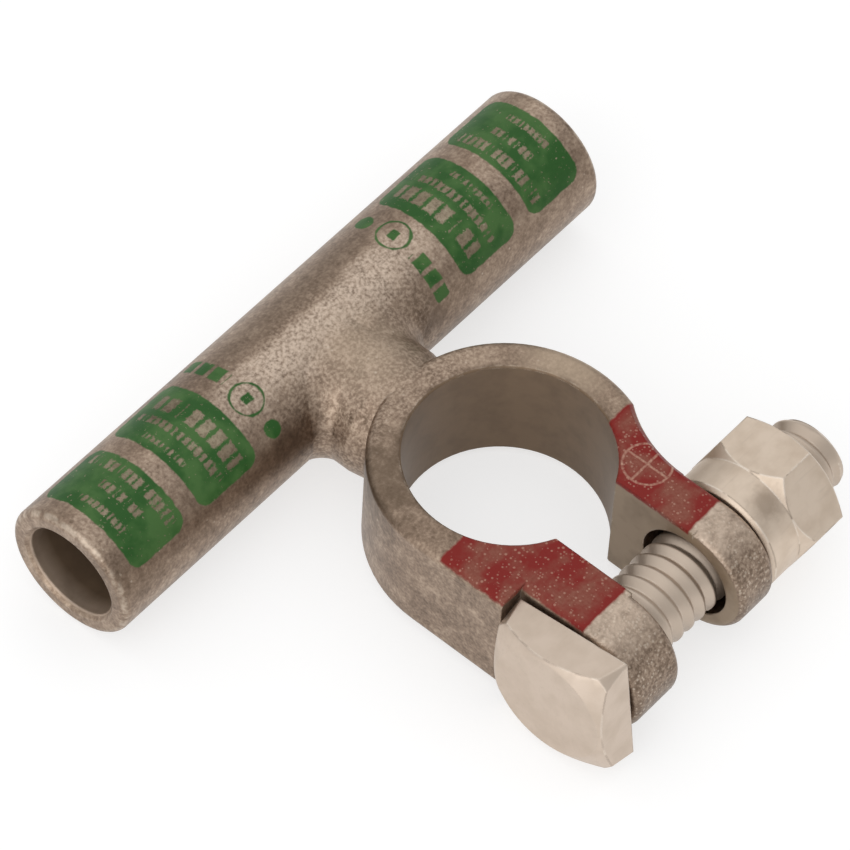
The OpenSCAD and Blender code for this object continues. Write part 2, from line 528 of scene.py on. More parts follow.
@dataclass(frozen=True)
class PrintedRow:
    """A row of plain blocks of different widths, with gaps where a block's draw is low."""

    field: Field
    pitch: float
    seed: float
    gap_draw: float = 0.1
    full_draw: float = 0.3
    block_half: float = 0.36

    def distance(self, tree: Tree, place: Socket, across: Socket) -> Socket:
        """Measure how far a point lies outside the row's blocks.

        Args:
            tree: The node tree to work in.
            place: The point along and around the barrel, with a third of 0.
            across: The point's distance around the barrel alone.

        Returns:
            The distance, below 0 inside.
        """
        links = {0: across, 1: self.pitch}
        steps = add_node(tree, "ShaderNodeMath", {"operation": "DIVIDE"}, links).outputs[0]
        share = add_node(tree, "ShaderNodeMath", {"operation": "FRACT"}, {0: steps})
        centred = add_node(tree, "ShaderNodeMath", {"operation": "SUBTRACT"}, {0: share.outputs[0], 1: 0.5})
        folded = add_node(tree, "ShaderNodeMath", {"operation": "ABSOLUTE"}, {0: centred.outputs[0]})
        whole = add_node(tree, "ShaderNodeMath", {"operation": "FLOOR"}, {0: steps})
        chosen = add_node(tree, "ShaderNodeMath", {"operation": "ADD"}, {0: whole.outputs[0], 1: self.seed})
        draw = add_node(
            tree, "ShaderNodeTexWhiteNoise", {"noise_dimensions": "1D"}, {"W": chosen.outputs[0]}
        ).outputs["Value"]
        block = Trait(draw, self.gap_draw, self.full_draw, 0.0, self.block_half)
        links = {0: folded.outputs[0], 1: shares(tree, {"block": block})["block"]}
        gap = add_node(tree, "ShaderNodeMath", {"operation": "SUBTRACT"}, links)
        links = {0: gap.outputs[0], 1: self.pitch}
        gap_mm = add_node(tree, "ShaderNodeMath", {"operation": "MULTIPLY"}, links)
        links = {0: self.field.distance(tree, place), 1: gap_mm.outputs[0]}
        return add_node(tree, "ShaderNodeMath", {"operation": "MAXIMUM"}, links).outputs[0]


@dataclass(frozen=True)
class Ring:
    """A thin printed or scratched circle."""

    centre: tuple[float, float]
    radius: float
    line_half: float

    def distance(self, tree: Tree, place: Socket) -> Socket:
        """Measure how far a point lies from the circle's line.

        Args:
            tree: The node tree to work in.
            place: The point's two coordinates, with a third of 0.

        Returns:
            The distance, below 0 on the line.
        """
        middle = (self.centre[0], self.centre[1], 0.0)
        reach = add_node(tree, "ShaderNodeVectorMath", {"operation": "DISTANCE"}, {0: place, 1: middle})
        links = {0: reach.outputs["Value"], 1: self.radius}
        off = add_node(tree, "ShaderNodeMath", {"operation": "SUBTRACT"}, links)
        folded = add_node(tree, "ShaderNodeMath", {"operation": "ABSOLUTE"}, {0: off.outputs[0]})
        links = {0: folded.outputs[0], 1: self.line_half}
        return add_node(tree, "ShaderNodeMath", {"operation": "SUBTRACT"}, links).outputs[0]


@dataclass(frozen=True)
class BarrelPrint:
    """Green ink on the barrels: two fields on each, rows of bare blocks in them, and marks by the neck.

    Places are given along the barrel from its middle and around it from the middle of the print, and the
    print on one barrel is the other's turned by half a turn about the post.
    """

    middle_angle: float = 97.0
    fields: tuple[Field, ...] = (
        Field((16.45, 0.2), (3.5, 5.95), 1.2),
        Field((25.05, 0.2), (3.2, 5.95), 1.2),
        Field((10.4, -4.45), (0.85, 0.85), 0.85),
        Field((10.5, -1.1), (0.5, 0.4), 0.1),
    )
    ring: Ring = Ring((10.5, -1.1), 1.5, 0.1)
    marks: PrintedRow = PrintedRow(Field((10.3, 3.75), (0.75, 2.4), 0.25), 1.6, 5.0)
    rows: tuple[PrintedRow, ...] = (
        PrintedRow(Field((15.1, 0.1), (0.85, 4.7), 0.15), 1.3, 11.0),
        PrintedRow(Field((17.15, 0.2), (0.42, 4.9), 0.12), 0.66, 27.0),
        PrintedRow(Field((18.9, 0.5), (0.28, 2.3), 0.1), 0.52, 40.0),
        PrintedRow(Field((23.0, 0.2), (0.55, 4.9), 0.12), 0.66, 58.0),
        PrintedRow(Field((24.95, -0.2), (0.4, 2.2), 0.1), 0.6, 71.0),
        PrintedRow(Field((26.95, 0.0), (0.33, 2.4), 0.1), 0.54, 93.0),
    )
    ink_fray: float = 0.16
    block_fray: float = 0.35
    edge: float = 0.07
    block_bareness: float = 0.85
    skin_depth: float = 0.6

    def mask(self, survey: Survey, places: Places, noise: dict[str, Socket]) -> Socket:
        """Lay the print out along and around the barrels.

        Args:
            survey: Where the point lies.
            places: Where things lie on the part.
            noise: Noise by name, for ragged edges.

        Returns:
            1 where ink lies.
        """
        tree = survey.tree
        side = add_node(tree, "ShaderNodeMath", {"operation": "SIGN"}, {0: survey.x})
        turned = survey.past(survey.angle, math.radians(self.middle_angle))
        across = overlap(tree, [turned, side.outputs[0], places.barrel_r])
        place = add_node(tree, "ShaderNodeCombineXYZ", {}, {0: survey.out, 1: across}).outputs[0]
        laid = [field.distance(tree, place) for field in self.fields]
        laid += [self.ring.distance(tree, place), self.marks.distance(tree, place, across)]
        clear = [row.distance(tree, place, across) for row in self.rows]
        frays = shares(
            tree,
            {
                "ink": Trait(noise["mottle"], 0.0, 1.0, -self.ink_fray, self.ink_fray),
                "block": Trait(noise["grain"], 0.0, 1.0, -self.block_fray, self.block_fray),
            },
        )
        inked = cover(tree, [survey.past(shape, 0.0, frays["ink"]) for shape in laid], self.edge)
        bare = cover(tree, [survey.past(shape, 0.0, frays["block"]) for shape in clear], self.edge)
        links = {0: bare, 1: -self.block_bareness, 2: 1.0}
        left = add_node(tree, "ShaderNodeMath", {"operation": "MULTIPLY_ADD"}, links)
        links = {0: survey.from_barrel, 1: places.barrel_r, 2: self.skin_depth}
        skin = add_node(tree, "ShaderNodeMath", {"operation": "COMPARE"}, links)
        return overlap(tree, [inked, left.outputs[0], skin.outputs[0]])


@dataclass(frozen=True)
class EarPaint:
    """Red paint on the flat tops of the ears, with a circled cross cast into the far one."""

    fields: tuple[Field, ...] = (
        Field((-8.0, -9.1), (8.0, 6.6), 0.3),
        Field((8.0, -9.85), (8.0, 5.95), 0.3),
    )
    circle: Ring = Ring((6.9, -9.0), 2.1, 0.1)
    depth: float = 0.4
    rim: float = 0.8
    fray: float = 0.22
    edge: float = 0.1
    inner_edge: float = 0.6
    line_edge: float = 0.05

    def masks(self, survey: Survey, places: Places, noise: dict[str, Socket]) -> tuple[Socket, Socket]:
        """Lay the paint on the ears' tops.

        Args:
            survey: Where the point lies.
            places: Where things lie on the part.
            noise: Noise by name, for ragged edges.

        Returns:
            1 where paint lies, and 1 where it lies away from its border.
        """
        tree = survey.tree
        frayed = shares(tree, {"paint": Trait(noise["mottle"], 0.0, 1.0, -self.fray, self.fray)})["paint"]
        spread = [survey.past(field.distance(tree, survey.flat), 0.0, frayed) for field in self.fields]
        drop = survey.before(survey.z, places.ring_top - self.depth, frayed)
        red = overlap(tree, [cover(tree, spread, self.edge), cover(tree, [drop], self.edge)])
        inner = []
        for field in self.fields:
            smaller = replace(field, half=(field.half[0], field.half[1] - self.rim))
            inner.append(survey.past(smaller.distance(tree, survey.flat), 0.0, frayed))
        return red, overlap(tree, [red, cover(tree, inner, self.inner_edge)])

    def cross_mask(self, survey: Survey) -> Socket:
        """Draw the circled cross on the far ear.

        Args:
            survey: Where the point lies.

        Returns:
            1 on the sign's lines.
        """
        tree = survey.tree
        circle = self.circle
        arms = []
        for long, short in ((circle.radius, circle.line_half), (circle.line_half, circle.radius)):
            arms.append(Field(circle.centre, (long, short), circle.line_half).distance(tree, survey.flat))
        return cover(tree, [circle.distance(tree, survey.flat), *arms], self.line_edge)


@dataclass(frozen=True)
class Band:
    """A soft band along the barrels, by angles about their axis in degrees."""

    begins: float
    full: float
    fades: float
    ends: float


@dataclass(frozen=True)
class TinnedCasting:
    """Cast copper alloy, tinned: a warm grey skin with a dull shine.

    The eye reads it by smooth, faintly clouded barrels with a painted highlight along their crest and
    painted shade beside it, a bright and sandy neck and ear tips with painted light and shade on them, brown
    bores with painted light near the mouths, flat green ink and a red paint with painted highlights on its
    beads.
    """

    # Sizes in millimetres. Real sand is about 0.1 mm, too fine to show, so the grain is drawn coarser.
    lump_mm: tuple[tuple[str, float], ...] = (
        ("grain", 0.3),
        ("mottle", 1.0),
        ("stain", 3.0),
        ("patch", 7.0),
    )
    tone_shares: tuple[tuple[str, float], ...] = (
        ("grain", 0.34),
        ("mottle", 0.26),
        ("stain", 0.2),
        ("patch", 0.2),
    )
    tone_stops: tuple[float, float, float] = (0.36, 0.5, 0.64)
    metal_dark: str = "#6a594b"
    metal_mid: str = "#94806f"
    metal_light: str = "#bca793"
    skin_metallic: float = 0.9
    skin_roughness: float = 0.42
    sand: Finish = Finish("#c4af9c", 0.8, 0.42, 0.5)
    # Painted shade beside the barrels' crest and on their lower flank.
    painted_shade_behind: Finish = Finish("#706051", 0.9, 0.4, 0.3)
    painted_shade_below: Finish = Finish("#706051", 0.9, 0.4, 0.28)
    # A painted highlight along the barrels' crest and on the ear tips' tops.
    rubbed: Finish = Finish("#d6c3b1", 0.8, 0.4)
    # Painted shade low on the ear tips, and painted highlights on their sand beads.
    tip_painted_shade: Finish = Finish("#5a4b3f", 0.9, 0.38, 0.5)
    tip_bead_highlight: Finish = Finish("#e2d4c2", 0.85, 0.34, 0.7)
    glint: Finish = Finish("#e2d4c2", 0.85, 0.34, 0.4)
    # Painted shade on the rounded top rim of the post bore.
    rim_painted_shade: Finish = Finish("#5e4d3e", 0.6, 0.5, 0.8)
    bore_metal: Finish = Finish("#846f5a", 0.45, 0.45)
    # Painted light in the cable bores near their mouths.
    bore_mouth_painted_light: Finish = Finish("#c4af9c", 0.6, 0.42, 0.9)
    slot_metal: Finish = Finish("#a08d78", 0.6, 0.42)
    cut_brown: Finish = Finish("#5e4d3e", 0.5, 0.45, 0.5)
    # Bright edges and mouth rims: wear and painted highlight.
    edge_wear_highlight: Finish = Finish("#e2d4c2", 0.8, 0.36, 0.7)
    mouth_wear_highlight: Finish = Finish("#e2d4c2", 0.8, 0.34, 0.35)
    ink: Finish = Finish("#2a5623", 0.0, 0.45)
    ink_light: Finish = Finish("#4a6e3a", 0.0, 0.45, 0.8)
    paint: Finish = Finish("#7f1f19", 0.0, 0.4)
    paint_worn: Finish = Finish("#7c4a3a", 0.1, 0.42, 0.85)
    paint_scuffed: Finish = Finish("#a06f60", 0.2, 0.42, 0.5)
    # Painted highlights on the paint's beads.
    paint_bead_highlight: Finish = Finish("#bf9683", 0.3, 0.34, 0.6)
    sign: Finish = Finish("#bf9683", 0.4, 0.45)
    # Angles about the barrels of the painted highlight along the crest and the painted shade behind it and
    # below it.
    crest: Band = Band(79.0, 95.0, 106.0, 134.0)
    behind: Band = Band(44.0, 58.0, 74.0, 88.0)
    below: Band = Band(122.0, 142.0, 160.0, 178.0)
    band_wander: float = 0.25
    band_depth: float = 0.5
    off_neck_from: float = 5.0
    tips_from: float = -15.5
    neck_half: float = 8.4
    neck_from: float = 9.0
    neck_to: float = 22.0
    neck_wander: float = 3.0
    # A face counts as cut a little past its nominal size, because the mesh's facets stray from it.
    bore_slack: float = 0.12
    slot_slack: float = 0.1
    slot_share: float = 0.7
    rim_width: float = 0.3
    rim_depth: float = 0.3
    mouth_round: float = 0.5
    mouth_slack: float = 0.3
    edge_mm: float = 0.25
    mottle_height: float = 0.8
    smooth_height: float = 0.3
    cut_height: float = 0.3
    bead_height: float = 0.5
    bump_strength: float = 0.5
    bump_mm: float = 0.1
    # Painted light and shade: the ring top darker on the left and lighter on the right, painted shade in the
    # creases where the neck meets the barrels, and a painted highlight on the neck's crown.
    blotches: tuple[Blotch, ...] = (
        Blotch((-8.6, 6.0, 11.4), 6.0, "#655647", 0.6),
        Blotch((10.2, 2.4, 11.4), 5.0, "#c6b29b", 0.5),
        Blotch((8.4, 15.6, 7.6), 2.0, "#64554a", 0.6),
        Blotch((-8.0, 15.6, 7.2), 3.0, "#64554a", 0.35),
        Blotch((0.5, 15.5, 11.6), 5.0, "#c0ad97", 0.35),
    )

    def make(self, places: Places, print_: BarrelPrint, ears: EarPaint) -> bpy.types.Material:
        """Build the material.

        Args:
            places: Where things lie on the part.
            print_: The print on the barrels.
            ears: The paint on the ears.

        Returns:
            The finished material.
        """
        # Tinned copper alloy as cast: the eye gets a warm grey metal, mottled and never polished.
        material, tree = new_tree("tinned_casting_printed")
        survey = Survey.make(tree, places)
        noise = lumps(tree, survey.at, dict(self.lump_mm))
        shown = self.traits(survey, places, noise)
        thin = shown["thin"]
        flecked = shown["flecked"]
        near_neck = shown["near_neck"]
        off_neck = cover(tree, [survey.before(survey.out, self.off_neck_from)], edge=1.5)
        tips = cover(tree, [survey.past(survey.y, self.tips_from)], edge=0.4)
        neck = self.neck_mask(survey, noise)
        sandy = add_node(tree, "ShaderNodeMath", {"operation": "MAXIMUM"}, {0: neck, 1: tips}).outputs[0]
        bore, slot = self.cut_masks(survey, places)
        cut = add_node(tree, "ShaderNodeMath", {"operation": "MAXIMUM"}, {0: bore, 1: slot}).outputs[0]
        beads = specks(tree, survey.at, spacing=0.28, share=0.75, size=0.13)
        glints = specks(tree, survey.at, spacing=0.6, share=0.5, size=0.12)
        inked = overlap(tree, [print_.mask(survey, places, noise), shown["scuffed"]])
        red, inner = ears.masks(survey, places, noise)
        sign = overlap(tree, [ears.cross_mask(survey), red])
        bevel = add_node(tree, "ShaderNodeBevel", {"samples": 4}, {"Radius": self.edge_mm * MM}).outputs[0]
        edge = near_edge(tree, bevel, start=0.97, full=0.8)
        crest, behind, below = (
            self.along_barrels(survey, places, noise, band) for band in (self.crest, self.behind, self.below)
        )
        ground = Coat(1.0, self.skin(tree, noise), self.skin_metallic, self.skin_roughness)
        coats = [
            ground,
            self.sand.coat(tree, [sandy, shown["scales"]]),
            # Painted shade on the barrels' flanks and a painted highlight along their crest.
            self.painted_shade_behind.coat(tree, [behind, near_neck]),
            self.painted_shade_below.coat(tree, [below, off_neck]),
            self.rubbed.coat(tree, [crest, near_neck, flecked]),
        ]
        # The blotches lay the painted light and shade on the ring top and the neck.
        coats += [stain.coat(tree, survey.at, noise["mottle"], ground) for stain in self.blotches]
        coats += [
            # Painted shade on the ear tips, darker towards the bottom, painted highlights on their tops and
            # their sand beads, and painted glints over the skin.
            self.tip_painted_shade.coat(tree, [tips, shown["low"]]),
            self.rubbed.coat(tree, [tips, shown["high"], noise["mottle"]]),
            self.tip_bead_highlight.coat(tree, [tips, beads, noise["stain"]]),
            self.glint.coat(tree, [glints, thin]),
            # A brown band on the post bore's top rim: painted shade of its rounded edge.
            self.rim_painted_shade.coat(tree, [self.post_rim(survey, places), thin]),
            self.bore_metal.coat(tree, [bore]),
            # Painted light in the cable bores near their mouths, where light reaches in.
            self.bore_mouth_painted_light.coat(tree, [bore, shown["mouth"]]),
            self.slot_metal.coat(tree, [slot]),
            self.cut_brown.coat(tree, [cut, noise["mottle"], thin]),
            # Bright edges and mouth rims: wear and painted highlight.
            self.edge_wear_highlight.coat(tree, [edge, shown["edge_rubbed"]]),
            self.mouth_wear_highlight.coat(tree, [self.mouth_rim(survey, places), shown["rim_rubbed"]]),
            self.ink.coat(tree, [inked]),
            self.ink_light.coat(tree, [inked, thin]),
            self.paint.coat(tree, [red]),
            self.paint_worn.coat(tree, [inner, thin]),
            self.paint_scuffed.coat(tree, [inner, flecked, thin]),
            # Painted highlights on the paint's beads, which the relief also raises.
            self.paint_bead_highlight.coat(tree, [inner, beads]),
            self.sign.coat(tree, [sign, flecked]),
        ]
        height = self.relief(tree, noise, sandy, cut, [overlap(tree, [inner, beads]), sign])
        links = {"Strength": self.bump_strength, "Distance": self.bump_mm * MM}
        links |= {"Height": height, "Normal": bevel}
        shade(tree, coats, add_node(tree, "ShaderNodeBump", {}, links).outputs[0])
        return material

    @staticmethod
    def traits(survey: Survey, places: Places, noise: dict[str, Socket]) -> dict[str, Socket]:
        """Work out how fully the skin's traits show.

        Args:
            survey: Where the point lies.
            places: Where things lie on the part.
            noise: Noise by name.

        Returns:
            The share of each trait by name.
        """
        top = places.ring_top
        end = places.barrel_end
        traits = {
            "thin": Trait(noise["stain"], 0.42, 0.6),
            "scales": Trait(noise["grain"], 0.45, 0.65),
            "flecked": Trait(noise["grain"], 0.3, 0.7, 0.1, 0.95),
            "scuffed": Trait(noise["grain"], 0.64, 0.72, 1.0, 0.35),
            "edge_rubbed": Trait(noise["mottle"], 0.46, 0.6),
            "rim_rubbed": Trait(noise["mottle"], 0.42, 0.6),
            "low": Trait(survey.z, top - 0.5, 0.4 * top),
            "high": Trait(survey.z, top - 1.6, top - 0.2),
            "mouth": Trait(survey.out, end - 2.4, end - 1.0),
            "near_neck": Trait(survey.out, 16.0, 7.0, 0.25, 1.0),
        }
        return shares(survey.tree, traits)

    def skin(self, tree: Tree, noise: dict[str, Socket]) -> Socket:
        """Mix the bare skin's tones from noise at several sizes.

        Args:
            tree: The node tree to work in.
            noise: Noise by name.

        Returns:
            The skin's colour.
        """
        tone: Any = 0.0
        for name, share in self.tone_shares:
            links = {0: noise[name], 1: share, 2: tone}
            tone = add_node(tree, "ShaderNodeMath", {"operation": "MULTIPLY_ADD"}, links).outputs[0]
        ramp = add_node(tree, "ShaderNodeValToRGB", {}, {0: tone})
        low, middle, high = self.tone_stops
        stops = ramp.color_ramp.elements
        stops[0].position = low
        stops[0].color = linear(self.metal_dark)
        stops[1].position = high
        stops[1].color = linear(self.metal_light)
        stops.new(middle).color = linear(self.metal_mid)
        return ramp.outputs[0]

    def neck_mask(self, survey: Survey, noise: dict[str, Socket]) -> Socket:
        """Mark the neck, whose skin still shows the mould's sand.

        Args:
            survey: Where the point lies.
            noise: Noise by name, for a wandering border.

        Returns:
            1 on the neck.
        """
        tree = survey.tree
        border = Trait(noise["stain"], 0.0, 1.0, -self.neck_wander, self.neck_wander)
        wander = shares(tree, {"border": border})["border"]
        sides = [
            survey.past(survey.out, self.neck_half, wander),
            survey.past(survey.y, self.neck_to, wander),
            survey.before(survey.y, self.neck_from, wander),
        ]
        return overlap(tree, [cover(tree, [side], edge=0.8) for side in sides])

    def along_barrels(
        self, survey: Survey, places: Places, noise: dict[str, Socket], band: Band
    ) -> Socket:
        """Mark a soft band along the barrels.

        Args:
            survey: Where the point lies.
            places: Where things lie on the part.
            noise: Noise by name, for a wandering border.
            band: The band's angles.

        Returns:
            1 in the middle of the band.
        """
        tree = survey.tree
        border = Trait(noise["stain"], 0.0, 1.0, -self.band_wander, self.band_wander)
        links = {0: survey.angle, 1: shares(tree, {"border": border})["border"]}
        angle = add_node(tree, "ShaderNodeMath", {"operation": "ADD"}, links).outputs[0]
        skin = survey.past(survey.from_barrel, places.barrel_r + self.band_depth)
        masks = [cover(tree, [skin], edge=0.4)]
        for first, last in ((band.begins, band.full), (band.ends, band.fades)):
            links = {"Value": angle, "From Min": math.radians(first), "From Max": math.radians(last)}
            soft = add_node(tree, "ShaderNodeMapRange", {"interpolation_type": "SMOOTHSTEP"}, links)
            masks.append(soft.outputs[0])
        return overlap(tree, masks)

    def cut_masks(self, survey: Survey, places: Places) -> tuple[Socket, Socket]:
        """Mark the faces that a tool has cut.

        Args:
            survey: Where the point lies.
            places: Where things lie on the part.

        Returns:
            1 in the post bore and the cable bores, and 1 on the slot's faces.
        """
        tree = survey.tree
        bores = [
            survey.past(survey.from_post, places.post_r + self.bore_slack),
            survey.past(survey.from_barrel, places.cable_r + self.bore_slack),
        ]
        between = cover(tree, [survey.past(survey.out, places.slot_half + self.slot_slack)], edge=0.03)
        forward = cover(tree, [survey.past(survey.y, -self.slot_share * places.post_r)], edge=0.1)
        return cover(tree, bores, edge=0.03), overlap(tree, [between, forward])

    def post_rim(self, survey: Survey, places: Places) -> Socket:
        """Mark the brown rim around the top of the post bore.

        Args:
            survey: Where the point lies.
            places: Where things lie on the part.

        Returns:
            1 on the rim.
        """
        tree = survey.tree
        ring = cover(tree, [survey.past(survey.from_post, places.post_r + self.rim_width)], edge=0.25)
        top = cover(tree, [survey.before(survey.z, places.ring_top - self.rim_depth)], edge=0.1)
        return overlap(tree, [ring, top])

    def mouth_rim(self, survey: Survey, places: Places) -> Socket:
        """Mark the rounded rims of the barrels' mouths.

        Args:
            survey: Where the point lies.
            places: Where things lie on the part.

        Returns:
            1 on a rim.
        """
        tree = survey.tree
        links = {0: survey.out, 1: survey.from_barrel}
        corner = add_node(tree, "ShaderNodeMath", {"operation": "ADD"}, links).outputs[0]
        short = survey.before(corner, places.barrel_end + places.barrel_r - self.mouth_round)
        near = survey.past(survey.from_barrel, places.barrel_r + self.mouth_slack)
        return overlap(tree, [cover(tree, [short], edge=0.06), cover(tree, [near], edge=0.1)])

    def relief(
        self, tree: Tree, noise: dict[str, Socket], sandy: Socket, cut: Socket, raised: list[Socket]
    ) -> Socket:
        """Work out the skin's height: sandy by the neck, smooth on the barrels, smoothest where it is cut.

        Args:
            tree: The node tree to work in.
            noise: Noise by name.
            sandy: 1 on sandy skin.
            cut: 1 on a cut face.
            raised: Masks of what stands up from the paint.

        Returns:
            The height for the bump node.
        """
        links = {0: noise["mottle"], 1: self.mottle_height, 2: noise["grain"]}
        sand = add_node(tree, "ShaderNodeMath", {"operation": "MULTIPLY_ADD"}, links).outputs[0]
        links = {0: sandy, 1: 1.0 - self.smooth_height, 2: self.smooth_height}
        rough = add_node(tree, "ShaderNodeMath", {"operation": "MULTIPLY_ADD"}, links).outputs[0]
        links = {0: cut, 1: self.cut_height - 1.0, 2: 1.0}
        plain = add_node(tree, "ShaderNodeMath", {"operation": "MULTIPLY_ADD"}, links).outputs[0]
        height = overlap(tree, [sand, rough, plain])
        for mask in raised:
            links = {0: mask, 1: self.bead_height, 2: height}
            height = add_node(tree, "ShaderNodeMath", {"operation": "MULTIPLY_ADD"}, links).outputs[0]
        return height


@dataclass(frozen=True)
class PlatedSteel:
    """Zinc-plated steel, cold formed: pale and warm.

    The eye reads it by an even satin shine with faint clouds, thin lines along its edges that are bright in
    places with wear and painted highlight and dark between with painted shade, and a thread that is duller.
    """

    name: str
    pale: Finish
    cloud: Finish
    blotches: tuple[Blotch, ...] = ()
    thread_from: float = math.inf
    drawn: Finish = Finish("#c5b5a5", 0.9, 0.5, 0.25)
    thread: Finish = Finish("#c5b5a5", 0.85, 0.4, 0.9)
    # Painted shade in lines along the edges.
    painted_edge_shade: Finish = Finish("#5a4a3c", 0.9, 0.4, 0.6)
    # Bright lines along the edges: wear and painted highlight.
    rubbed: Finish = Finish("#eadfd2", 0.9, 0.3)
    round_mm: float = 0.2
    line_mm: float = 0.24
    cloud_mm: float = 2.4
    mottle_mm: float = 0.8
    # Real drawing lines are far finer than this, too fine to show, so they are drawn coarser.
    drawn_mm: float = 0.3
    drawn_shrink: float = 0.12
    cloud_height: float = 1.5
    bump_strength: float = 0.12
    bump_mm: float = 0.05

    def make(self) -> bpy.types.Material:
        """Build the material.

        Returns:
            The finished material.
        """
        # Zinc-plated steel: the eye gets a pale, satin metal that shows light and no clear reflections.
        material, tree = new_tree(self.name)
        coords = add_node(tree, "ShaderNodeTexCoord", {}, {}).outputs["Object"]
        links = {"Vector": coords, "Scale": (PER_MM, PER_MM, PER_MM)}
        at = add_node(tree, "ShaderNodeMapping", {}, links).outputs[0]
        links = {"Vector": at, "Scale": (self.drawn_shrink, 1.0, 1.0)}
        along = add_node(tree, "ShaderNodeMapping", {}, links).outputs[0]
        noise = lumps(tree, at, {"cloud": self.cloud_mm, "mottle": self.mottle_mm})
        noise |= lumps(tree, along, {"drawn": self.drawn_mm})
        bevel = add_node(tree, "ShaderNodeBevel", {"samples": 6}, {"Radius": self.round_mm * MM}).outputs[0]
        line = add_node(tree, "ShaderNodeBevel", {"samples": 6}, {"Radius": self.line_mm * MM}).outputs[0]
        edge = near_edge(tree, line, start=0.99, full=0.95)
        traits = {
            "cloud": Trait(noise["cloud"], 0.4, 0.75),
            "drawn": Trait(noise["drawn"], 0.55, 0.7),
            "grimy": Trait(noise["cloud"], 0.5, 0.44),
            "rubbed": Trait(noise["cloud"], 0.47, 0.53),
        }
        shown = shares(tree, traits)
        ground = self.pale.coat(tree, [1.0])
        coats = [ground, self.cloud.coat(tree, [shown["cloud"]]), self.drawn.coat(tree, [shown["drawn"]])]
        coats += [stain.coat(tree, at, noise["mottle"], ground) for stain in self.blotches]
        # Painted shade in thin lines along the edges.
        coats.append(self.painted_edge_shade.coat(tree, [edge, shown["grimy"]]))
        if math.isfinite(self.thread_from):
            parts = add_node(tree, "ShaderNodeSeparateXYZ", {}, {0: at})
            links = {0: self.thread_from, 1: parts.outputs[0]}
            short = add_node(tree, "ShaderNodeMath", {"operation": "SUBTRACT"}, links).outputs[0]
            coats.append(self.thread.coat(tree, [cover(tree, [short], edge=0.1)]))
        # Bright lines along the edges: wear and painted highlight.
        coats.append(self.rubbed.coat(tree, [edge, shown["rubbed"]]))
        links = {0: noise["cloud"], 1: self.cloud_height, 2: noise["drawn"]}
        height = add_node(tree, "ShaderNodeMath", {"operation": "MULTIPLY_ADD"}, links).outputs[0]
        links = {"Strength": self.bump_strength, "Distance": self.bump_mm * MM}
        links |= {"Height": height, "Normal": bevel}
        shade(tree, coats, add_node(tree, "ShaderNodeBump", {}, links).outputs[0])
        return material


def dress(piece: bpy.types.Object, material: bpy.types.Material) -> None:
    """Give a piece one material all over.

    Args:
        piece: The mesh object to dress.
        material: Its finish.
    """
    if piece.material_slots:
        for slot in piece.material_slots:
            slot.material = material
    else:
        piece.data.materials.append(material)
    LOG.info("dressed %s", piece.name)


def pick(piece: bpy.types.Object) -> None:
    """Make a piece the only selected and the active one.

    Args:
        piece: The object to pick.
    """
    bpy.ops.object.select_all(action="DESELECT")
    piece.select_set(True)
    bpy.context.view_layer.objects.active = piece


